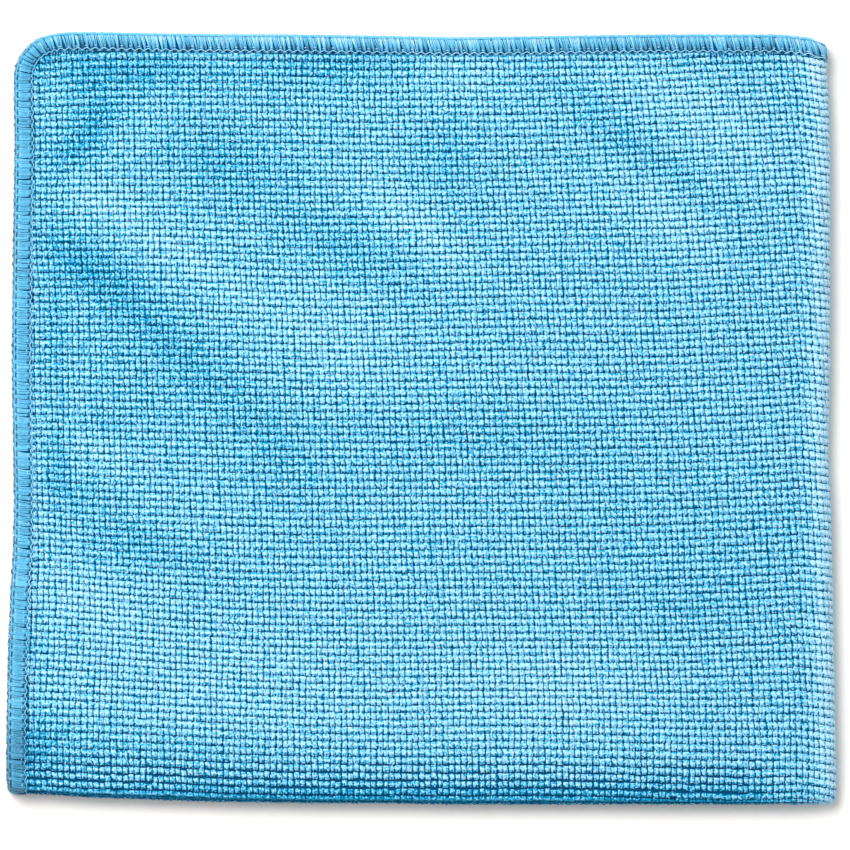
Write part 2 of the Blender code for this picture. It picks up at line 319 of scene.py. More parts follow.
# The path of an overlock thread over the edge, from the needle holes round to the inside.
# Distance in from the cut edge, depth of the thread's middle.
OVER_EDGE = (
    (4.30, 0.85),
    (4.10, 0.45),
    (3.75, 0.26),
    (3.40, 0.24),
    (2.20, 0.20),
    (1.55, 0.21),
    (1.15, 0.24),
    (0.80, 0.35),
    (0.50, 0.55),
    (0.24, 1.00),
    (0.50, 1.54),
    (1.30, 1.78),
)
# The same with fewer points, for the threads below and for those between the layers.
UNDER_EDGE = OVER_EDGE[:8:2] + OVER_EDGE[8:]
WITHIN_EDGE = UNDER_EDGE[2:]
# How the overlock threads lean, bow and draw together towards the needle holes, on the
# sides and on the ends of the cloth, and where they start to draw together and how far it
# takes.
LEAN = (-0.08, 0.22)
BOW = (-0.25, 0.05)
DRAWN = (0.06, 0.62)
DRAWN_REACH = (1.2, 3.0)
# How pale the threads are painted by distance in from the cut edge: painted shade where they
# turn over the edge, in the slot beside the looper's chain and towards the needle holes.
# Distance, on the sides, on the ends.
EDGE_SHADE = (
    (0.25, -0.05, 0.50),
    (0.50, 0.10, 0.56),
    (0.80, 0.00, 0.62),
    (1.15, 0.66, 0.57),
    (1.55, 0.44, 0.52),
    (3.20, 0.44, 0.24),
    (4.10, 0.42, 0.06),
)
# How much paler or deeper the middle thread of a leg is than the others, on the ends.
MIDDLE_SHADE, OTHER_SHADE = 0.12, -0.06
# The slot beside the looper's chain ends, and the needle's holes start, so far in. The numbers
# after them say how pale the bridge over the slot and the holes are painted; the holes are
# painted shade.
SLOT_END, BRIDGE_SHADE = 1.3, 0.48
HOLE_START, HOLE_SHADE = 3.6, -0.25
# How much the threads over the edge differ in lean, place, rise, depth, reach and thickness.
LEG_LEAN, STRAND_PLACE, LEG_RISE, STRAND_RISE, STRAND_REACH, STRAND_THICK = (
    0.04, 0.05, 0.04, 0.03, 0.08, 0.08
)
# Sides of a thread, and of a chain's thicker one.
THREAD_SIDES = 4
CHAIN_SIDES = 5

# The sizes of the materials' patterns, each as coarse as it has to be to show. The real
# fibres lie in bundles of 0.3 mm, the stitches of the ground are 0.7 mm apart, the thread's
# filaments lie in bundles of 0.25 mm, and the paper's fibres are 1 mm long.
FIBRE_PATTERN = 0.60
GROUND_PATTERN = 1.2
FILAMENT_PATTERN = 0.5
PAPER_PATTERN = 2.0

# The camera's view at the height it aims at, its place and the width of its film.
CAMERA_WIDTH = 210.85
CAMERA_HEIGHT = 4000.0
CAMERA_AIM = 6.0
CAMERA_EAST = 0.89
CAMERA_NORTH = -1.59
FILM_WIDTH = 36.0


def linear(colour):
    """An sRGB hex colour as linear numbers with alpha."""
    channels = [int(colour[at:at + 2], 16) / 255 for at in (0, 2, 4)]
    low = [c / 12.92 if c <= 0.04045 else ((c + 0.055) / 1.055) ** 2.4 for c in channels]
    return (*low, 1.0)


def eased(value, start=0.0, reach=1.0):
    """A smooth step from 0 at a start to 1 so far past it."""
    share = np.clip((value - start) / reach, 0.0, 1.0)
    return share * share * (3.0 - 2.0 * share)


def blend(first, second, share):
    """The first value where the share is 0, the second where it is 1."""
    return first + (second - first) * share


def read_softly(table, column, at):
    """A column of a table at some shares of the way, with its corners rounded off."""
    rows = np.array(table)
    read = [np.interp(at + shift, rows[:, 0], rows[:, column]) for shift in DRIFT_SOFTENING]
    return np.mean(read, axis=0)


def read_bend(table, east, north):
    """A bend table between its lines and columns, with its corners rounded off."""
    lines = np.array(table)[::-1]
    total = np.zeros(np.broadcast(east, north).shape)
    for east_shift in BEND_SOFTENING:
        values = [np.interp(east + east_shift, BEND_EAST, line[1:]) for line in lines]
        values = np.array(values)
        for north_shift in BEND_SOFTENING:
            at = np.interp(north + north_shift, lines[:, 0], np.arange(len(lines)))
            low = np.minimum(at.astype(int), len(lines) - 2)
            below = np.take_along_axis(values, low[None], axis=0)[0]
            above = np.take_along_axis(values, low[None] + 1, axis=0)[0]
            total += blend(below, above, at - low)
    return total / len(BEND_SOFTENING) ** 2


def soft_patches(table, east, north):
    """The sum of a table's soft oval patches, each with its own rise."""
    total = np.zeros_like(east)
    for patch_east, patch_north, half_length, half_width, turn, rise in table:
        cosine = math.cos(math.radians(turn))
        sine = math.sin(math.radians(turn))
        along = (east - patch_east) * cosine + (north - patch_north) * sine
        beside = (north - patch_north) * cosine - (east - patch_east) * sine
        total += rise * np.exp(-0.5 * ((along / half_length) ** 2 + (beside / half_width) ** 2))
    return total


def turned_over(distance, run, turn, centre, depth):
    """A straight run, a half turn about a centre and the run back.

    Returns the distance out from the free edge, the height, and how much of the turn is done.
    """
    done = np.clip((distance - run) / turn, 0.0, 1.0)
    radius = centre - depth
    out = np.minimum(distance, run) - np.maximum(distance - run - turn, 0.0)
    out = out + radius * np.sin(math.pi * done)
    height = centre - radius * np.cos(math.pi * done)
    return out, height, done


def layer_value(column, first_done, second_done):
    """A column of LAYER_PEEP, blended round the folds."""
    lowest, second, third, top = (row[column] for row in LAYER_PEEP)
    lower = blend(lowest, second, first_done)
    upper = blend(top, third, first_done)
    return blend(lower, upper, second_done)


class FoldedCloth:
    """The cloth's sizes in millimetres, and where its flat points lie once it is folded.

    across runs from the free edge of the lower layers to that of the upper ones, along from
    the outer layers' free edge to the inner ones', and depth in from the face that ends up
    outside.
    """

    def __init__(self, sizes):
        self.width = sizes.cut_width / MM
        self.length = sizes.cut_length / MM
        self.thick = sizes.thickness / MM
        self.gap = sizes.layer_gap / MM
        self.corner = sizes.corner_radius / MM
        self.rim = sizes.rim_width / MM
        self.rim_thick = sizes.rim_thickness / MM
        self.rim_fade = sizes.rim_fade / MM
        pitch = self.thick + self.gap
        self.stack = 4 * self.thick + 3 * self.gap
        self.first_turn = math.pi * pitch / 2
        self.second_turn = math.pi * pitch
        self.first_run = (self.length - self.first_turn) / 2
        self.second_run = (self.width - self.second_turn) / 2
        self.folded_length = self.first_run + self.thick + self.gap / 2
        self.folded_width = self.second_run + self.stack / 2
        self.first_face_turn = math.pi * (pitch - FACE_DEPTH)
        self.second_face_turn = math.pi * (2 * pitch - FACE_DEPTH)
        self.face_end = self.first_run + self.first_face_turn + FACE_PAST_FOLD
        half_length = self.length / 2 - self.corner
        arc = math.pi / 2 * self.corner
        across_run = self.width - 2 * self.corner
        # Where the straight runs and the arcs of the cut edge start.
        self.edge_stops = np.cumsum(
            (0, half_length, arc, across_run, arc, 2 * half_length, arc, across_run, arc)
        )
        self.edge_length = self.edge_stops[-1] + half_length
        self.offset = np.zeros(3)
        self.offset = self.centre_offset()

    def centre_offset(self):
        """Brings the middle of the outline over the origin, as in the CAD model."""
        lines = np.linspace(0.0, 1.0, 801)
        across, along = np.meshgrid(
            lines * self.width, (0.0, self.rim, self.first_run + MID_TURN)
        )
        sides = self.folded(*self.rounded(across, along), np.full_like(across, MID_LAYER))
        across, along = np.meshgrid(
            (0.0, self.rim, self.width / 2, self.width), lines * self.length
        )
        ends = self.folded(*self.rounded(across, along), np.zeros_like(across))
        points = np.concatenate([sides.reshape(-1, 3), ends.reshape(-1, 3)])
        middle = (np.array(CLOTH_LOW) + np.array(CLOTH_HIGH)) / 2 / MM
        offset = middle - (points.min(axis=0) + points.max(axis=0)) / 2
        return offset * (1, 1, 0)

    def rounded(self, across, along):
        """Moves points near the flat cloth's square corners onto arcs about their centres."""
        inner_across = np.clip(across, self.corner, self.width - self.corner)
        inner_along = np.clip(along, self.corner, self.length - self.corner)
        east, north = across - inner_across, along - inner_along
        radius = np.maximum(abs(east), abs(north))
        share = np.minimum(abs(east), abs(north)) / np.maximum(radius, 1e-9)
        small = share * math.pi / 4
        angle = np.where(abs(east) >= abs(north), small, math.pi / 2 - small)
        in_corner = (abs(east) > 0) & (abs(north) > 0)
        east = np.where(in_corner, np.sign(east) * radius * np.cos(angle), east)
        north = np.where(in_corner, np.sign(north) * radius * np.sin(angle), north)
        return inner_across + east, inner_along + north

    def edge_distance(self, across, along):
        """How far a flat point lies inside the cloth's cut edge."""
        side = np.minimum(across, self.width - across)
        end = np.minimum(along, self.length - along)
        short_side = np.maximum(self.corner - side, 0.0)
        short_end = np.maximum(self.corner - end, 0.0)
        at_corner = (short_side > 0) & (short_end > 0)
        return np.where(
            at_corner, self.corner - np.hypot(short_side, short_end), np.minimum(side, end)
        )

    def local_thickness(self, across, along):
        past_rim = eased(self.edge_distance(across, along), self.rim, self.rim_fade)
        return blend(self.rim_thick, self.thick, past_rim)

    def plan_shift(self, right_share, front_share):
        """How far east and north the unevenness of the outline moves a point."""
        left_out = read_softly(SIDE_DRIFT, 1, front_share)
        right_out = read_softly(SIDE_DRIFT, 2, front_share)
        back_out = read_softly(END_DRIFT, 1, right_share)
        front_out = read_softly(END_DRIFT, 2, right_share)
        east = right_out * right_share - left_out * (1 - right_share)
        north = back_out * (1 - front_share) - front_out * front_share
        return east, north

    def folded(self, across, along, depth):
        """Where points of the flat cloth lie once it is folded in quarters and has settled."""
        first_centre = self.local_thickness(across, along) + self.gap / 2
        forward, height, first_done = turned_over(
            along, self.first_run, self.first_turn, first_centre, depth
        )
        second_centre = 2 * first_centre + self.gap / 2
        right, height, second_done = turned_over(
            across, self.second_run, self.second_turn, second_centre, height
        )

        right_share = right / self.folded_width
        front_share = forward / self.folded_length
        east = right - self.folded_width / 2
        north = self.folded_length / 2 - forward

        from_front = self.folded_length - forward
        from_right = self.folded_width - right
        sink = FRONT_SINK * (1 - eased(from_front, 0.0, FRONT_SINK_REACH))
        sink = sink + RIGHT_SINK * (1 - eased(from_right, 0.0, RIGHT_SINK_REACH))
        height = height * (1 - sink / self.stack)
        on_top = eased(second_done) * (1 - eased(first_done))
        height = height + on_top * soft_patches(RIDGES, east, north)

        east_shift, north_shift = self.plan_shift(right_share, front_share)
        east = east + east_shift
        north = north + north_shift
        east = east - layer_value(0, first_done, second_done) * (1 - right_share) ** 2
        north = north + layer_value(1, first_done, second_done) * (1 - front_share) ** 2
        north = north + UPPER_FOLD_BACK * eased(second_done) * front_share ** 8
        return np.stack([east, north, height], axis=-1) + self.offset

    def face_place(self, row, stitch, weave):
        """Where a point of the weave lies on the face, from the upper back left corner.

        Rows and stitches are counted from the middle of the top. The distances run over the
        face, to the right and to the front, and on round the folds.
        """
        row, stitch = np.broadcast_arrays(row, stitch)
        east = (weave.first_stitch + stitch * weave.stitch_spacing) / MM
        north = (weave.first_row - row * weave.row_spacing) / MM
        south, aside = read_bend(ROW_BEND, east, north), read_bend(COLUMN_BEND, east, north)
        bent_east, bent_north = east + aside, north - south
        right = bent_east - self.offset[0] + self.folded_width / 2
        forward = self.folded_length / 2 - bent_north + self.offset[1]
        slanted = np.clip(right - FOLD_SLANT_START, 0, self.second_face_turn)
        forward = forward + FOLD_SLANT * slanted
        right_share = np.clip(right / self.folded_width, 0, 1)
        front_share = np.clip(forward / self.folded_length, 0, 1)
        east_shift, north_shift = self.plan_shift(right_share, front_share)
        return right - east_shift, forward + north_shift

    def flat_place(self, right, forward):
        """The flat coordinates of a place on the face.

        The face goes the long way round the folds, so the flat cloth's distances are shorter
        there.
        """
        turned = np.clip((right - self.second_run) / self.second_face_turn, 0, 1)
        right = right - turned * (self.second_face_turn - self.second_turn)
        turned = np.clip((forward - self.first_run) / self.first_face_turn, 0, 1)
        forward = forward - turned * (self.first_face_turn - self.first_turn)
        return self.width - right, forward

    def side_share(self, distance):
        """1 on the cloth's sides, 0 on its ends, and between them round its corners."""
        shares = (1, 1, 0, 0, 1, 1, 0, 0, 1)
        return np.interp(np.mod(distance, self.edge_length), self.edge_stops, shares)

    def edge_point(self, distance, inwards):
        """A flat point so far along the cut edge and so far inside it.

        The distance starts where the upper layers' left edge meets the first fold, and runs
        to the back, along the back edge and on round the cloth.
        """
        distance = np.mod(distance, self.edge_length)
        part = np.searchsorted(self.edge_stops, distance, side="right") - 1
        past = distance - self.edge_stops[part]
        west, back, radius = self.corner, self.corner, self.corner - inwards
        east, front, middle = self.width - west, self.length - back, self.length / 2
        on_arc = part % 2 == 1
        angle = part // 2 * math.pi / 2 + np.where(on_arc, past / self.corner, 0.0)
        run = np.where(on_arc, 0.0, past)
        across = np.array([east, east, east, west, west, west, west, east, east])[part]
        along = np.array([middle, back, back, back, back, front, front, front, front])[part]
        across = across + radius * np.cos(angle) - run * np.sin(angle)
        along = along - radius * np.sin(angle) - run * np.cos(angle)
        return across, along


def new_piece(name, material, points, faces, layers, uv=None):
    """A piece of the cloth from points in millimetres, lists of faces and layers of numbers.

    The layers have a number for every point. The one called face has each point's place on
    the unfolded face, in metres. uv has a place on the piece's own picture for every corner
    of every face.
    """
    corners = np.concatenate([np.ravel(group) for group in faces]).astype(np.int32)
    counts = np.concatenate([np.full(len(group), group.shape[1]) for group in faces])
    starts = np.concatenate([[0], np.cumsum(counts)[:-1]]).astype(np.int32)
    mesh = bpy.data.meshes.new(name)
    mesh.vertices.add(len(points))
    mesh.vertices.foreach_set("co", (points * MM).astype(np.float32).ravel())
    mesh.loops.add(len(corners))
    mesh.loops.foreach_set("vertex_index", corners)
    mesh.polygons.add(len(counts))
    mesh.polygons.foreach_set("loop_start", starts)
    mesh.polygons.foreach_set("use_smooth", np.ones(len(counts), dtype=bool))
    mesh.update(calc_edges=True)
    for layer, values in layers.items():
        kind, field = ("FLOAT_VECTOR", "vector") if layer == "face" else ("FLOAT", "value")
        attribute = mesh.attributes.new(layer, kind, "POINT")
        attribute.data.foreach_set(field, np.ravel(values).astype(np.float32))
    if uv is not None:
        picture = mesh.uv_layers.new(name="OFBake")
        picture.uv.foreach_set("vector", uv.astype(np.float32).ravel())
    if mesh.validate():
        raise RuntimeError(f"{name} has a face that Blender can't use")
    piece = bpy.data.objects.new(name, mesh)
    bpy.context.collection.objects.link(piece)
    piece.data.materials.append(material)
    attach(piece, "root")
    return piece


def facing_out(points, faces):
    """The faces of closed shells, turned round if they point inwards."""
    volume = 0.0
    for group in faces:
        first = points[group[:, 0]]
        for corner in range(1, group.shape[1] - 1):
            second, third = points[group[:, corner]], points[group[:, corner + 1]]
            volume += np.einsum("ij,ij->", first, np.cross(second, third))
    return [group[:, ::-1] for group in faces] if volume < 0 else faces


def tube_faces(first, sections, around):
    """Sides and ends of a closed tube, whose rings of points start at first."""
    ring = np.arange(around)
    start = first + around * np.arange(sections - 1)[:, None]
    after = (ring + 1) % around
    sides = np.stack(
        [start + ring, start + after, start + around + after, start + around + ring], axis=-1
    )
    fan = np.arange(1, around - 1)
    last = first + around * (sections - 1)
    head = np.stack([np.full_like(fan, first), first + fan + 1, first + fan], axis=-1)
    tail = np.stack([np.full_like(fan, last), last + fan, last + fan + 1], axis=-1)
    return sides.reshape(-1, 4), np.concatenate([head, tail])


def tubes(points):
    """Faces of closed tubes, whose points go by tube, section and place round it."""
    count, sections, around = points.shape[:3]
    quads, ends = tube_faces(0, sections, around)
    first = (np.arange(count) * sections * around)[:, None, None]
    faces = [(quads + first).reshape(-1, 4), (ends + first).reshape(-1, 3)]
    return facing_out(points.reshape(-1, 3), faces)


def ring_of(around):
    """Cosines and sines of the points round a thread."""
    angle = (np.arange(around) + 0.5) / around * 2 * math.pi
    return np.cos(angle), np.sin(angle)


def set_inputs(material, node, inputs):
    """Gives a node's inputs their values, and links where a value is another node's output."""
    for socket, value in inputs.items():
        if isinstance(value, bpy.types.NodeSocket):
            material.node_tree.links.new(value, node.inputs[socket])
        else:
            node.inputs[socket].default_value = value


def add_node(material, kind, inputs=None, output=0, stops=(), **settings):
    """Adds a node with its settings and links, and returns one of its outputs.

    stops has a ramp's places, from 0 to 1, each with its colour.
    """
    node = material.node_tree.nodes.new(kind)
    for setting, value in settings.items():
        setattr(node, setting, value)
    set_inputs(material, node, inputs or {})
    for place, _ in stops[1:-1]:
        node.color_ramp.elements.new(place)
    for number, (place, colour) in enumerate(stops):
        element = node.color_ramp.elements[number]
        element.position = place
        element.color = linear(colour)
    return node.outputs[output]


def new_material(name):
    material = bpy.data.materials.new(name)
    material.use_nodes = True
    return material, material.node_tree.nodes["Principled BSDF"]


def loops_material(finish):
    """Split microfibre yarn in knitted loops.

    The colour is painted from the height layer, which holds painted light and shade: the loops'
    crowns are painted pale where they catch the light, and the yarn is painted deep blue down
    between them, where shade falls. Fine loose fibres give each loop a matt, slightly mottled
    look with a faint sheen.
    """
    material, shader = new_material("looped microfibre")
    place = add_node(material, "ShaderNodeAttribute", output="Vector", attribute_name="face")
    height, tone, stitch = (
        add_node(material, "ShaderNodeAttribute", output="Fac", attribute_name=layer)
        for layer in ("height", "tone", "stitch")
    )
    # Coarser than the real bundles of fibres, so that they show.
    fibres = add_node(
        material, "ShaderNodeTexNoise",
        {"Vector": place, "Scale": 1 / (FIBRE_PATTERN * MM), "Detail": 1.0, "Roughness": 0.6},
        noise_dimensions="2D",
    )
    # Low down, stray fibres bridge the gaps here and there, and on the crowns they lie close.
    loose = add_node(
        material, "ShaderNodeMapRange", {"Value": height, "To Min": 3.4, "To Max": 0.95}
    )
    # The height layer holds painted light and shade, and the ramp below turns it into colour.
    rise = add_node(
        material, "ShaderNodeMapRange", {"Value": height, "To Min": -0.14, "To Max": 0.78}
    )
    level = add_node(material, "ShaderNodeMath", {0: rise, 1: tone}, operation="ADD")
    # Each loop stands on two legs, so between the rows there is painted shade: a dark dot beside
    # a loop's middle as well as one at each slit.
    turn = add_node(
        material, "ShaderNodeMath", {0: stitch, 1: 4 * math.pi}, operation="MULTIPLY"
    )
    legs = add_node(material, "ShaderNodeMath", {0: turn}, operation="COSINE")
    painted_dot_shade = add_node(
        material, "ShaderNodeMapRange",
        {"Value": height, "From Max": 0.72, "To Min": -0.95, "To Max": 0.0},
    )
    level = add_node(
        material, "ShaderNodeMath", {0: legs, 1: painted_dot_shade, 2: level}, operation="MULTIPLY_ADD"
    )
    mottle = add_node(material, "ShaderNodeMath", {0: fibres, 1: 0.5}, operation="SUBTRACT")
    level = add_node(
        material, "ShaderNodeMath", {0: mottle, 1: loose, 2: level}, operation="MULTIPLY_ADD"
    )
    colour = add_node(
        material, "ShaderNodeValToRGB", {"Fac": level},
        stops=(
            (0.0, finish.deep), (0.40, finish.middle), (0.64, finish.light), (1.0, finish.crown)
        ),
    )
    bump = add_node(
        material, "ShaderNodeBump", {"Height": fibres, "Strength": 1.0, "Distance": 0.11 * MM}
    )
    set_inputs(material, shader, {
        "Base Color": colour, "Normal": bump, "Roughness": 0.85, "Specular IOR Level": 0.08,
        "Sheen Weight": 0.08, "Sheen Roughness": 0.5, "Sheen Tint": linear(finish.sheen),
    })
    return material


def ground_material(finish):
    """The knitted ground under the loops: the same yarn, pressed flat, painted deep blue as
    painted shade.

    It shows only as deep blue slits between the rows of loops.
    """
    material, shader = new_material("knitted ground")
    place = add_node(material, "ShaderNodeTexCoord", output="Object")
    # Coarser than the real stitches, so that they show.
    stitches = add_node(
        material, "ShaderNodeTexNoise",
        {"Vector": place, "Scale": 1 / (GROUND_PATTERN * MM), "Detail": 2.0},
    )
    colour = add_node(
        material, "ShaderNodeValToRGB", {"Fac": stitches},
        stops=((0.3, finish.deep), (0.8, finish.ground)),
    )
    bump = add_node(
        material, "ShaderNodeBump", {"Height": stitches, "Strength": 0.5, "Distance": 0.2 * MM}
    )
    set_inputs(material, shader, {
        "Base Color": colour, "Normal": bump, "Roughness": 0.95, "Specular IOR Level": 0.08,
    })
    return material


def thread_material(finish):
    """Crimped polyester thread, smoother and brighter than the face.

    Its fine filaments run along it, and its stitches differ a little in tone.
    """
    material, shader = new_material("crimped polyester thread")
    place = add_node(material, "ShaderNodeTexCoord", output="Object")
    tone, height = (
        add_node(material, "ShaderNodeAttribute", output="Fac", attribute_name=layer)
        for layer in ("tone", "height")
    )
    # Coarser than the real bundles of filaments, so that they show.
    filaments = add_node(
        material, "ShaderNodeTexNoise",
        {"Vector": place, "Scale": 1 / (FILAMENT_PATTERN * MM), "Detail": 2.0},
    )
    # The height layer holds the threads' painted light and shade.
    level = add_node(
        material, "ShaderNodeMath", {0: tone, 1: 0.1, 2: height}, operation="MULTIPLY_ADD"
    )
    level = add_node(
        material, "ShaderNodeMath", {0: filaments, 1: 0.4, 2: level}, operation="MULTIPLY_ADD"
    )
    level = add_node(material, "ShaderNodeMath", {0: level, 1: 0.2}, operation="SUBTRACT")
    colour = add_node(
        material, "ShaderNodeValToRGB", {"Fac": level},
        stops=((0.0, finish.deep), (0.5, finish.thread), (1.0, finish.crown)),
    )
    bump = add_node(
        material, "ShaderNodeBump", {"Height": filaments, "Strength": 0.5, "Distance": 0.08 * MM}
    )
    set_inputs(material, shader, {
        "Base Color": colour, "Normal": bump, "Roughness": 0.6,
        "Sheen Weight": 0.2, "Sheen Tint": linear(finish.sheen),
    })
    return material


def floor_material(finish):
    """Matt white seamless paper, with the faintest mottle of its fibres."""
    material, shader = new_material("matt white paper")
    place = add_node(material, "ShaderNodeTexCoord", output="Object")
    # Coarser than the real paper's, so that they show.
    fibres = add_node(
        material, "ShaderNodeTexNoise",
        {"Vector": place, "Scale": 1 / (PAPER_PATTERN * MM), "Detail": 3.0},
    )
    colour = add_node(
        material, "ShaderNodeValToRGB", {"Fac": fibres},
        stops=((0.0, finish.mottle), (1.0, finish.paper)),
    )
    set_inputs(material, shader, {"Base Color": colour, "Roughness": 0.9})
    return material


def material_of(name, maker, finish):
    """The material of that name, made the first time that a piece asks for it."""
    return bpy.data.materials.get(name) or maker(finish)


def millimetres(name, description, size):
    """A property for a length."""
    return FloatProperty(
        name=name, description=description, default=size * MM, unit="LENGTH"
    )


def hex_colour(name, description, colour):
    """A property for an sRGB colour."""
    return StringProperty(name=name, description=description, default=colour)


class ClothSizes(PropertyGroup):
    cut_width: millimetres("Cut width", "Flat cloth, from side to side", 405)
    cut_length: millimetres("Cut length", "Flat cloth, from end to end", 381)
    thickness: millimetres("Thickness", "One layer, with its loops", 1.8)
    layer_gap: millimetres("Layer gap", "Air between two folded layers", 0.4)
    corner_radius: millimetres("Corner radius", "Cut corners of the flat cloth", 11.5)
    rim_width: millimetres("Edge width", "From the cut edge to the needle holes", 4.1)
    rim_thickness: millimetres("Edge thickness", "The overlocked band's own thickness", 2.0)
    rim_fade: millimetres("Edge fade", "Strip in which the band's thickness runs out", 2.5)


class WeaveSizes(PropertyGroup):
    row_spacing: millimetres("Row spacing", "From one row of loops to the next", 1.848)
    stitch_spacing: millimetres("Stitch spacing", "From one loop to the next in a row", 1.4388)
    first_row: millimetres("Middle row", "How far north of the middle one row lies", -1.07)
    first_stitch: millimetres("Middle column", "How far east of the middle one lies", 0.119)
    loop_height: millimetres("Loop height", "From the knitted ground to a crown", 0.65)
    unevenness: FloatProperty(
        name="Unevenness", description="How much the loops differ from each other",
        default=1.0, min=0.0, max=2.0, subtype="FACTOR",
    )
    strays: IntProperty(
        name="Stray threads", description="How many single threads are pulled out of the face",
        default=150, min=1,
    )
    seed: IntProperty(name="Seed", description="Sets the pattern of uneven loops", default=7)


class EdgeSizes(PropertyGroup):
    stitch: millimetres("Edge stitch", "From one needle hole to the next", 2.2)
    thread: millimetres("Thread radius", "One strand of the overlock thread", 0.22)
    seed: IntProperty(name="Seed", description="Sets how the threads lie", default=3)


class Finishes(PropertyGroup):
    # The loops' colours run from painted shade in deep to painted light in crown, and ground is
    # painted shade between the rows.
    deep: hex_colour("Deep", "Yarn between the loops", "004C74")
    middle: hex_colour("Middle", "Flanks of the loops", "00A0D0")
    light: hex_colour("Light", "Shoulders of the loops", "88CFF2")
    crown: hex_colour("Crown", "Crowns of the loops", "CAEAFA")
    ground: hex_colour("Ground", "Knitted ground", "004C74")
    thread: hex_colour("Thread", "Overlock thread", "58B8E0")
    sheen: hex_colour("Sheen", "Glance of loose fibres", "A8E0F8")
    paper: hex_colour("Paper", "What the cloth lies on", "FFFAF4")
    mottle: hex_colour("Mottle", "Fibres in the paper", "F6F4F0")


class StageSizes(PropertyGroup):
    floor: millimetres("Floor", "Side of the floor", 3000)
    key_power: FloatProperty(
        name="Key light", description="Power of the large soft light", default=29.0, unit="POWER"
    )
    ambient: FloatProperty(
        name="Ambient", description="Strength of the light from all round", default=0.53
    )


def ground_lines(run, turn, first_step, last_step, turn_steps):
    """Distances of the ground's mesh lines from one free edge to the other."""
    total = 2 * run + turn
    straight = run - EDGE_LINES_END
    first = np.linspace(EDGE_LINES_END, run, 1 + round(straight / first_step))
    fold = np.linspace(run, run + turn, turn_steps + 1)[1:-1]
    last = np.linspace(run + turn, total - EDGE_LINES_END, 1 + round(straight / last_step))
    return np.concatenate([EDGE_LINES, first, fold, last, total - EDGE_LINES[::-1]])


class CLOTH_OT_ground(Operator):
    """Makes the folded sheet that carries the loops"""

    bl_idname = "cloth.ground"
    bl_label = "Folded Ground"

    def execute(self, context):
        scene = context.scene
        cloth = FoldedCloth(scene.cloth_sizes)
        # The mesh is coarser on the layers that show least.
        across, along = cloth.rounded(*np.meshgrid(
            ground_lines(
                cloth.second_run, cloth.second_turn, first_step=6.0, last_step=3.0, turn_steps=14
            ),
            ground_lines(
                cloth.first_run, cloth.first_turn, first_step=3.0, last_step=9.0, turn_steps=8
            ),
        ))
        inside = cloth.edge_distance(across, along)
        _, _, first_done = turned_over(along, cloth.first_run, cloth.first_turn, 1.0, 0.0)
        loop_height = scene.weave_sizes.loop_height / MM
        # Where no loops are made, on the layers within, the ground is as thick as the cloth.
        outer = blend(loop_height, BARE_DEPTH, eased(first_done * 1.5 - 0.5))
        under_edge = 1.0 - eased(inside, *UNDER_THREADS)
        outer = blend(outer, THREAD_ROOM, under_edge)
        inner = cloth.local_thickness(across, along) - THREAD_ROOM * under_edge
        # The cut edge itself is pinched by the threads.
        pinch = 0.6 * (1.0 - eased(inside, 0.0, 0.6))
        middle = (outer + inner) / 2
        faces_at = (blend(outer, middle, pinch), blend(inner, middle, pinch))
        points = np.concatenate([
            cloth.folded(across, along, depth).reshape(-1, 3) for depth in faces_at
        ])

        index = np.arange(across.size).reshape(across.shape)
        quads = np.stack(
            [index[:-1, :-1], index[:-1, 1:], index[1:, 1:], index[1:, :-1]], axis=-1
        ).reshape(-1, 4)
        border = np.concatenate([
            index[0, :-1], index[:-1, -1], index[-1, :0:-1], index[:0:-1, 0]
        ])
        after = np.roll(border, -1)
        wall = np.stack([border, border + index.size, after + index.size, after], axis=-1)
        faces = facing_out(points, [quads, quads[:, ::-1] + index.size, wall])

        # The picture has the outer face in its lower half and the inner one above it.
        u, v = across / cloth.width, 0.49 * along / cloth.length
        flat = np.concatenate([
            np.stack([u, v + start], axis=-1).reshape(-1, 2) for start in (0.0, 0.5)
        ])
        corners = np.concatenate([np.ravel(group) for group in faces])
        material = material_of("knitted ground", ground_material, scene.finishes)
        piece = new_piece("ground", material, points, faces, {}, flat[corners])
        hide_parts("cloth")
        return {"FINISHED"}


def uneven_loops(weave, row, stitch):
    """How some loops of the face differ from even ones, as columns.

    Every loop's numbers are drawn at once, so they are the same for every piece.
    """
    random = np.random.default_rng(weave.seed)

    def each_loop(amount):
        return amount * weave.unevenness * random.standard_normal((ROWS, STITCHES))

    def wandering(amount, lines, length):
        """Numbers that change slowly along each line."""
        window = np.hanning(9) / np.hanning(9).sum()
        loose = random.standard_normal((lines, length + 8))
        calm = [np.convolve(line, window, mode="valid") for line in loose]
        return amount * weave.unevenness * np.array(calm)

    field = {
        "height": 1 + each_loop(0.02),
        "width": 1 + each_loop(0.015),
        "tilt": each_loop(0.05),
        "side": each_loop(0.028),
        "lean": 0.12 + each_loop(0.18),
        "shift": np.clip(each_loop(0.10), -0.14, 0.14),
        "slit": np.clip(1 + each_loop(0.30), 0.1, 1.7),
        "tone": 0.015 * random.standard_normal((ROWS, STITCHES)),
        "wander": wandering(0.02, ROWS, STITCHES),
        "drift": wandering(0.15, STITCHES, ROWS).T,
    }
    at = (row - FIRST_ROW, stitch - FIRST_STITCH)
    return SimpleNamespace(**{name: values[at][:, None] for name, values in field.items()})


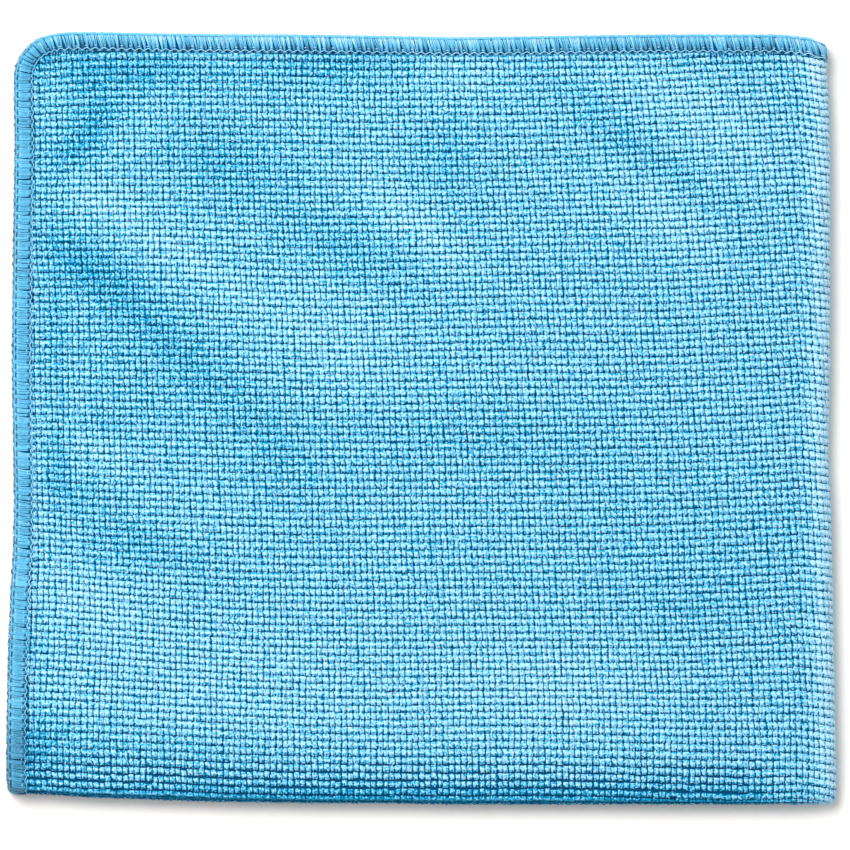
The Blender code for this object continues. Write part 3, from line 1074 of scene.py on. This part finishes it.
def loop_rows(cloth, weave, low, high, starts, around):
    """Each section of a piece's rows of loops, and the faces of the tubes through them.

    A section has its row, its stitch and its number within the stitch.
    """
    sections, quads, ends = [], [], []
    count = 0
    every = np.arange(FIRST_STITCH + 1, FIRST_STITCH + STITCHES - 2)
    for row in range(FIRST_ROW, FIRST_ROW + ROWS):
        right, _ = cloth.face_place(row, every, weave)
        own = every[(right >= low) & (right < high)]
        if not len(own):
            continue
        stitch = np.append(np.repeat(own, len(starts)), own[-1] + 1)
        number = np.append(np.tile(np.arange(len(starts)), len(own)), 0)
        right, forward = cloth.face_place(row, stitch + starts[number], weave)
        inside = cloth.edge_distance(*cloth.flat_place(right, forward))
        shown = (inside > cloth.rim - 0.2) & (forward > 0) & (forward < cloth.face_end)
        changes = np.flatnonzero(np.diff(np.concatenate([[0], shown.astype(int), [0]])))
        for first, last in zip(changes[::2], changes[1::2]):
            if last - first < 2:
                continue
            line = np.full(last - first, row)
            sections.append(np.stack([line, stitch[first:last], number[first:last]]))
            sides, caps = tube_faces(count, last - first, around)
            quads.append(sides)
            ends.append(caps)
            count += len(line) * around
    return np.concatenate(sections, axis=1), [np.concatenate(quads), np.concatenate(ends)]


def loops_picture(faces, right, forward, low, high, face_end, around):
    """A place on the piece's picture for every corner of its faces."""
    u = np.clip((right.ravel() - low) / (high - low), 0, 1)
    v = np.clip(forward.ravel() / (face_end + 1.0), 0, 1) * PICTURE_SHARE
    place = np.stack([u, v], axis=-1)
    picture = []
    for group in faces:
        corners = place[group]
        # Undersides and ends of the rows are hidden, so they share one strip.
        hidden = np.all(np.isin(group % around, (0, around - 1)), axis=1)
        hidden |= group.shape[1] == 3
        corners[hidden, :, 1] = HIDDEN_START + HIDDEN_HEIGHT * corners[hidden, :, 1]
        picture.append(corners.reshape(-1, 2))
    return np.concatenate(picture)


def make_loops(name, scene, low, high, pattern):
    """One piece of the looped face, between two distances from the upper left edge."""
    cloth = FoldedCloth(scene.cloth_sizes)
    weave = scene.weave_sizes
    shape, section, section_light = pattern
    section = np.array(section)
    around = len(section)
    starts, halves, levels = (np.array(column) for column in zip(*shape))
    starts = starts - 0.5
    (row, stitch, number), faces = loop_rows(cloth, weave, low, high, starts, around)
    loops = uneven_loops(weave, row, stitch)
    slit = (number == 0)[:, None]
    row = row[:, None]
    stitch = stitch[:, None] + starts[number][:, None]
    full = levels[-1]

    # The rows stand open at the first fold, but not where the second one presses on it.
    right, forward = cloth.face_place(row, stitch, weave)
    both = eased(right, *BOTH_FOLDS)
    opened = eased(forward - cloth.first_run, *ROWS_OPEN) * (1 - BOTH_CLOSED * both)
    half = halves[number][:, None] * np.where(slit, 1, loops.width)
    half = half * (1 - OPEN_NARROWER * opened)
    level = levels[number]
    level = np.where(slit, blend(full, level, loops.slit), level * loops.height)
    level = level * (1 - OPEN_LOWER * opened * slit)
    level = level * (1 + np.where(slit, 0.0, loops.tilt) * section)
    side = loops.wander + np.where(slit, 0.0, (1 + OPEN_UNEVEN * opened) * loops.side)
    shift = loops.drift + np.where(slit, loops.shift, 0.0)
    # A loop's shoulders lean half as far as its slit.
    lean = loops.lean * np.where(slit, 1.0, 0.5)
    right, forward = cloth.face_place(
        row + side + section * half, stitch + shift + lean * section * half, weave
    )

    # The pile is pressed flat along the second fold, and the slits close round both folds.
    past_fold = 1 - eased(right, *FOLD_PASSED)
    flat_and_painted_light = eased(right, *FOLD_FLAT_AND_PAINTED_LIGHT) * past_fold
    round_side = eased(right, *FOLD_ROUND) * past_fold
    round_front = eased(forward - cloth.first_run, *FRONT_ROUND)
    round_front = round_front * (1 - BOTH_LESS_CLOSED * both)
    closed = np.maximum(RIGHT_CLOSED * round_side, FRONT_CLOSED * round_front)
    level = np.where(slit, blend(level, full, closed), level)
    level = blend(level, WORN_HEIGHT, WORN_SHARE * flat_and_painted_light * (abs(section) < 1))
    level = np.maximum(level, 0.0)
    # The seam presses down the loops beside it.
    across, along = cloth.flat_place(right, forward)
    free = eased(cloth.edge_distance(across, along) - cloth.rim, *SEAM_PRESS)
    base = weave.loop_height / MM + FOOT_DEPTH
    pressed = level * blend(PRESSED_HEIGHT, 1.0, free)
    points = cloth.folded(across, along, base - base * pressed)
    points = points.reshape(-1, 3)
    points[:, 2] = np.maximum(points[:, 2], 0.0)
    faces = facing_out(points, faces)

    # Right at the first fold the pile lies flat, and it is painted an even deeper blue: painted
    # shade where the fold turns away from the light.
    strip = eased(forward - cloth.first_run, *FRONT_STRIP) * (1 - BOTH_LESS_STRIP * both)
    # The tone adds painted light on the second fold and painted shade on the front strip to the
    # loops' own random tone.
    tone = (loops.tone + FOLD_PAINTED_LIGHT * flat_and_painted_light + FRONT_PAINTED_SHADE * strip).ravel()
    # Painted light and shade: the light comes from behind, and little of it gets into the slits.
    # The layer called height carries it to the material.
    light = level * blend(PRESSED_LIGHT, 1.0, free)
    light = light * section_light * np.where(slit, SLIT_LIGHT, 1.0)
    light[:, 0] = FOOT_LIGHT * light[:, 1]
    light[:, -1] = FOOT_LIGHT * light[:, -2]
    layers = {
        "height": blend(light, 1.0, strip),
        # The soft patches add their painted light and shade to the tone.
        "tone": tone + soft_patches(PAINTED_SHADING, points[:, 0], points[:, 1]),
        "face": np.stack([right * MM, forward * MM, 0 * right], axis=-1),
        "stitch": stitch + 0 * level,
    }
    picture = loops_picture(faces, right, forward, low, high, cloth.face_end, around)
    material = material_of("looped microfibre", loops_material, scene.finishes)
    new_piece(name, material, points, faces, layers, picture)


class CLOTH_OT_top_loops(Operator):
    """Makes the rows of loops that show from above, round both folds"""

    bl_idname = "cloth.top_loops"
    bl_label = "Top Loops"

    def execute(self, context):
        scene = context.scene
        make_loops("loops_west", scene, 0.0, 68.0, TOP_LOOPS)
        make_loops("loops_middle", scene, 68.0, 136.0, TOP_LOOPS)
        make_loops("loops_east", scene, 136.0, TOP_END, TOP_LOOPS)
        return {"FINISHED"}


class CLOTH_OT_under_loops(Operator):
    """Makes the rows of loops that the cloth lies on"""

    bl_idname = "cloth.under_loops"
    bl_label = "Underside Loops"

    def execute(self, context):
        make_loops("loops_under", context.scene, TOP_END, 411.0, UNDER_LOOPS)
        return {"FINISHED"}


class CLOTH_OT_stray_threads(Operator):
    """Pulls single threads out of the loops here and there"""

    bl_idname = "cloth.stray_threads"
    bl_label = "Stray Threads"

    def execute(self, context):
        scene = context.scene
        weave = scene.weave_sizes
        cloth = FoldedCloth(scene.cloth_sizes)
        random = np.random.default_rng(weave.seed + 1)
        threads = (weave.strays, 1)
        way = np.linspace(0.0, 1.0, STRAY_SECTIONS)
        length = random.uniform(*STRAY_LENGTH, threads)
        # Most threads lie in a slack bow, and some have sprung into a ring.
        bend = random.normal(0.0, STRAY_BEND, threads)
        ring = random.random(threads) < RING_SHARE
        length = np.where(ring, RING_LENGTH, length)
        bend = np.where(ring, random.choice((-RING_BEND, RING_BEND), threads), bend)
        heading = random.uniform(0.0, 2 * math.pi, threads) + bend * length * way
        step = length * way[1]
        east = random.uniform(*STRAY_EAST, threads)
        east = east + np.cumsum(step * np.cos(heading), axis=1)
        front = random.uniform(*STRAY_FRONT, threads)
        front = front + np.cumsum(step * np.sin(heading), axis=1)
        lift = STRAY_REST + STRAY_LIFT * np.sin(math.pi * way) * random.random(threads)
        thick = STRAY_RADIUS * (1 - 0.6 * abs(2 * way - 1) ** 3)
        thick = thick * random.uniform(0.7, 1.2, threads)

        cosine, sine = ring_of(THREAD_SIDES)
        aside = thick[..., None] * cosine
        right = east[..., None] - np.sin(heading)[..., None] * aside
        forward = front[..., None] + np.cos(heading)[..., None] * aside
        up = lift[..., None] + thick[..., None] * sine
        points = cloth.folded(*cloth.flat_place(right, forward), -up)
        layers = {
            "height": np.full(right.shape, WORN_HEIGHT),
            "tone": 0 * right,
            "face": np.stack([right * MM, forward * MM, 0 * right], axis=-1),
            "stitch": 0 * right,
        }
        material = material_of("looped microfibre", loops_material, scene.finishes)
        new_piece("stray_threads", material, points.reshape(-1, 3), tubes(points), layers)
        return {"FINISHED"}


def thread_shells(cloth, along_edge, around=THREAD_SIDES, **sections):
    """Closed tubes about some paths, with the tone and the painted shade, called height, that
    their material reads.

    sections has every section's distance along the cut edge, how far in and how deep it lies,
    and its thread's radius, tone and height, which is its painted shade. along_edge says that
    the paths run along the cut edge, and not across it.
    """
    names = ("distance", "inwards", "depth", "radius", "tone", "height")
    values = np.broadcast_arrays(*(sections[name] for name in names))
    distance, inwards, depth, radius, tone, height = (
        np.atleast_2d(value)[..., None] for value in values
    )
    cosine, sine = ring_of(around)
    if along_edge:
        ring_distance = distance + 0 * cosine
        ring_in = inwards + radius * cosine
        ring_depth = depth + radius * sine
    else:
        step_in = np.gradient(inwards, axis=1)
        step_deep = np.gradient(depth, axis=1)
        step = np.maximum(np.hypot(step_in, step_deep), 1e-6)
        ring_distance = distance + radius * cosine
        ring_in = inwards - step_deep / step * radius * sine
        ring_depth = depth + step_in / step * radius * sine
    points = cloth.folded(*cloth.edge_point(ring_distance, ring_in), ring_depth)
    points[..., 2] = np.maximum(points[..., 2], 0.0)
    quads, ends = tubes(points)
    tone, height = (np.repeat(value, around) for value in (tone, height))
    return points.reshape(-1, 3), quads, ends, tone, height


def cross_threads(cloth, edge, random, start, pitch, stitches, strands, path):
    """The threads that lead over the edge, in two legs to a stitch."""
    legs = 2 * stitches
    leg = np.repeat(np.arange(legs), strands)[:, None]
    strand = np.tile(np.arange(strands), legs)[:, None]

    def each_leg(amount):
        return amount * random.standard_normal(legs)[leg]

    def each_strand(amount):
        return amount * random.standard_normal(leg.shape)

    middle = start + (leg + 0.5) * pitch / 2
    beside = (strand - (strands - 1) / 2) * pitch / 2 / strands
    on_side = cloth.side_share(middle)
    lean, bow, drawn = (blend(end, side, on_side) for side, end in (LEAN, BOW, DRAWN))
    inwards, depth = np.array(path).T
    distance = lean * inwards + bow * np.sin(math.pi * inwards / cloth.rim)
    distance = distance + beside * (1 - drawn * eased(inwards, *DRAWN_REACH))
    distance = distance + each_leg(LEG_LEAN) * inwards
    distance = distance + middle + each_strand(STRAND_PLACE)
    depth = depth - each_leg(LEG_RISE) - each_strand(STRAND_RISE)
    inwards = inwards + each_strand(STRAND_REACH)
    # The threads are a little thicker on the sides, and thin where they go into a hole.
    radius = edge.thread / MM * 3 / strands * (1 + each_strand(STRAND_THICK))
    radius = radius * (1 + 0.22 * on_side) * np.where(np.arange(len(path)) == 0, 0.6, 1.0)
    # The threads of a leg share most of their tone, and they differ less on the sides.
    tone = (each_leg(0.7) + each_strand(0.5)) * (1 - 0.4 * on_side)

    places, side_shade, end_shade = np.array(EDGE_SHADE).T
    side_shade = np.interp(inwards, places, side_shade)
    end_shade = np.interp(inwards, places, end_shade)
    is_middle = strand == (strands - 1) // 2
    end_shade = end_shade + np.where(is_middle, MIDDLE_SHADE, OTHER_SHADE)
    # On the sides the slot between the cross threads and the looper's chain is painted in shade,
    # bridged once a stitch, and the needle's holes are painted as dark dots of shade.
    first = (leg % 2 == 0) & (strand < 2)
    side_shade = np.where(first & (inwards < SLOT_END), BRIDGE_SHADE, side_shade)
    side_shade = np.where(first & (inwards > HOLE_START), HOLE_SHADE, side_shade)
    return thread_shells(
        cloth, along_edge=False, distance=distance, inwards=inwards, depth=depth,
        radius=radius, tone=tone, height=blend(end_shade, side_shade, on_side),
    )


def looper_chain(cloth, radius, distance, wave, on_side):
    """The looper's chain along the cut edge."""
    return thread_shells(
        cloth, along_edge=True, around=CHAIN_SIDES, distance=distance,
        inwards=0.16 + 0.26 * on_side + 0.06 * np.cos(wave),
        depth=0.62 - 0.36 * on_side + (0.16 - 0.10 * on_side) * np.sin(wave),
        radius=radius * (0.8 - 0.2 * on_side), tone=0.0, height=0.50 + 0.06 * on_side,
    )


def needle_chain(cloth, radius, distance, wave, on_side):
    """The needle thread's chain.

    It waves along the inner side of its holes on the cloth's sides, and along their outer
    side on its ends.
    """
    swing = blend(-0.25, 0.20, on_side)
    return thread_shells(
        cloth, along_edge=True, around=CHAIN_SIDES, distance=distance,
        inwards=cloth.rim - 0.30 + 0.65 * on_side - swing * np.cos(wave),
        depth=0.02 + 0.06 * np.cos(wave), radius=0.66 * radius, tone=0.0, height=0.66,
    )


def needle_stitches(cloth, radius, gaps):
    """The needle thread's own stitches between its holes."""
    reach = np.array([-0.75, -0.5, 0.0, 0.5, 0.75])
    distance = gaps[:, None] + reach
    return thread_shells(
        cloth, along_edge=True, distance=distance,
        inwards=cloth.rim + 0.20 - 0.15 * cloth.side_share(distance),
        depth=0.20 + 0.5 * reach ** 2, radius=0.9 * radius * (1 - 0.9 * reach ** 2),
        tone=0.0, height=0.36,
    )


def short_stitches(cloth, radius, holes, random):
    """A short stitch on the outer side of each of the needle's holes."""
    reach = np.array([-0.42, -0.2, 0.0, 0.2, 0.42])
    holes = holes + 0.08 * random.standard_normal(len(holes))
    distance = holes[:, None] + reach
    aside = 0.10 * random.standard_normal((len(holes), 1))
    return thread_shells(
        cloth, along_edge=True, distance=distance,
        inwards=cloth.rim - 1.05 + 0.40 * cloth.side_share(distance) + aside,
        depth=0.10 + 1.6 * reach ** 2, radius=0.8 * radius * (1 - 2.0 * reach ** 2),
        tone=0.0, height=0.72,
    )


def make_overlock(name, scene, start, stop, strands, path, seed_shift):
    """The threads over one stretch of the edge, with the chains along both its sides."""
    cloth = FoldedCloth(scene.cloth_sizes)
    edge = scene.edge_sizes
    random = np.random.default_rng(edge.seed + seed_shift)
    stitches = round((stop - start) * MM / edge.stitch)
    pitch = (stop - start) / stitches
    shells = [cross_threads(cloth, edge, random, start, pitch, stitches, strands, path)]

    radius = edge.thread / MM
    steps = 2 * strands + 2
    turn = np.arange(stitches * steps + 1) / steps
    distance = start + turn * pitch
    chain = (cloth, radius, distance, 2 * math.pi * turn, cloth.side_share(distance))
    shells.append(looper_chain(*chain))
    # A path that starts further in lies between the layers, where the needle's side of the
    # seam is hidden.
    if path[0][0] > cloth.rim - 1.0:
        holes = start + (np.arange(stitches) + 0.5) * pitch
        shells += [
            needle_chain(*chain),
            needle_stitches(cloth, radius, holes[1:] - pitch / 2),
            short_stitches(cloth, radius, holes, random),
        ]

    points, quads, ends, tone, height = zip(*shells)
    counts = np.cumsum([0] + [len(shell) for shell in points])
    faces = [
        np.concatenate([shell + count for shell, count in zip(group, counts)])
        for group in (quads, ends)
    ]
    points = np.concatenate(points)
    # The threads get the same painted light and shade from the soft patches as the top.
    height = np.concatenate(height) + soft_patches(PAINTED_SHADING, points[:, 0], points[:, 1])
    material = material_of("crimped polyester thread", thread_material, scene.finishes)
    layers = {"tone": np.concatenate(tone), "height": height}
    new_piece(name, material, points, faces, layers)


class CLOTH_OT_overlock(Operator):
    """Sews the overlock threads over all four edges of the folded cloth"""

    bl_idname = "cloth.overlock"
    bl_label = "Overlocked Edge"

    def execute(self, context):
        scene = context.scene
        cloth = FoldedCloth(scene.cloth_sizes)
        corners = cloth.edge_stops
        top_end = (corners[2] + corners[3]) / 2 + 4.0
        outer_end = (corners[4] + corners[5]) / 2 + 2.0
        last = cloth.edge_length - 2.0
        make_overlock("overlock_top", scene, -2.0, top_end, 3, OVER_EDGE, 0)
        make_overlock("overlock_under", scene, top_end, outer_end, 2, UNDER_EDGE, 1)
        make_overlock("overlock_within", scene, outer_end, last, 2, WITHIN_EDGE, 2)
        return {"FINISHED"}


class CLOTH_OT_stage(Operator):
    """Sets the floor, the lights and the camera"""

    bl_idname = "cloth.stage"
    bl_label = "Stage"

    def execute(self, context):
        scene = context.scene
        stage = scene.stage_sizes
        bpy.ops.object.select_all(action="DESELECT")
        bpy.ops.mesh.primitive_plane_add(size=stage.floor, location=(0, 0, 0))
        floor = context.object
        floor.name = "floor"
        floor.data.materials.append(
            material_of("matt white paper", floor_material, scene.finishes)
        )

        for name, place, size, power in (
            ("key", (-0.54, 0.76, 1.38), 0.95, stage.key_power),
            ("side", (-1.1, 0.15, 0.9), 1.0, 0.10 * stage.key_power),
        ):
            bpy.ops.object.light_add(type="AREA", location=place)
            light = context.object
            light.name = name
            light.data.size = size
            light.data.energy = power
            direction = mathutils.Vector(place)
            light.rotation_euler = direction.to_track_quat("Z", "Y").to_euler()

        scene.world = bpy.data.worlds.new("studio")
        scene.world.use_nodes = True
        background = scene.world.node_tree.nodes["Background"]
        background.inputs["Color"].default_value = (1, 1, 1, 1)
        background.inputs["Strength"].default_value = stage.ambient

        place = (CAMERA_EAST * MM, CAMERA_NORTH * MM, CAMERA_HEIGHT * MM)
        bpy.ops.object.camera_add(location=place, rotation=(0, 0, 0))
        camera = context.object
        camera.data.sensor_width = FILM_WIDTH
        camera.data.lens = FILM_WIDTH * (CAMERA_HEIGHT - CAMERA_AIM) / CAMERA_WIDTH
        scene.camera = camera
        scene.view_settings.view_transform = "Standard"
        return {"FINISHED"}


OPERATORS = (
    CLOTH_OT_ground,
    CLOTH_OT_top_loops,
    CLOTH_OT_under_loops,
    CLOTH_OT_stray_threads,
    CLOTH_OT_overlock,
    CLOTH_OT_stage,
)


class CLOTH_PT_panel(Panel):
    """Sizes, colours and pieces of the cloth"""

    bl_idname = "CLOTH_PT_panel"
    bl_label = "Folded Microfibre Cloth"
    bl_space_type = "VIEW_3D"
    bl_region_type = "UI"
    bl_category = "Cloth"

    def draw(self, context):
        layout = self.layout
        for group in GROUPS:
            box = layout.box()
            owner = getattr(context.scene, group)
            for name in owner.bl_rna.properties.keys():
                if name not in ("rna_type", "name"):
                    box.prop(owner, name)
        for operator in OPERATORS:
            layout.operator(operator.bl_idname)


GROUPS = {
    "cloth_sizes": ClothSizes,
    "weave_sizes": WeaveSizes,
    "edge_sizes": EdgeSizes,
    "finishes": Finishes,
    "stage_sizes": StageSizes,
}


def register():
    for group in GROUPS.values():
        bpy.utils.register_class(group)
    for name, group in GROUPS.items():
        setattr(bpy.types.Scene, name, PointerProperty(type=group))
    for operator in OPERATORS:
        bpy.utils.register_class(operator)
    bpy.utils.register_class(CLOTH_PT_panel)


def unregister():
    bpy.utils.unregister_class(CLOTH_PT_panel)
    for operator in reversed(OPERATORS):
        bpy.utils.unregister_class(operator)
    for name in GROUPS:
        delattr(bpy.types.Scene, name)
    for group in reversed(GROUPS.values()):
        bpy.utils.unregister_class(group)


def main():
    register()
    bpy.ops.cloth.ground()
    bpy.ops.cloth.top_loops()
    bpy.ops.cloth.under_loops()
    bpy.ops.cloth.stray_threads()
    bpy.ops.cloth.overlock()
    bpy.ops.cloth.stage()


if __name__ == "__main__":
    main()
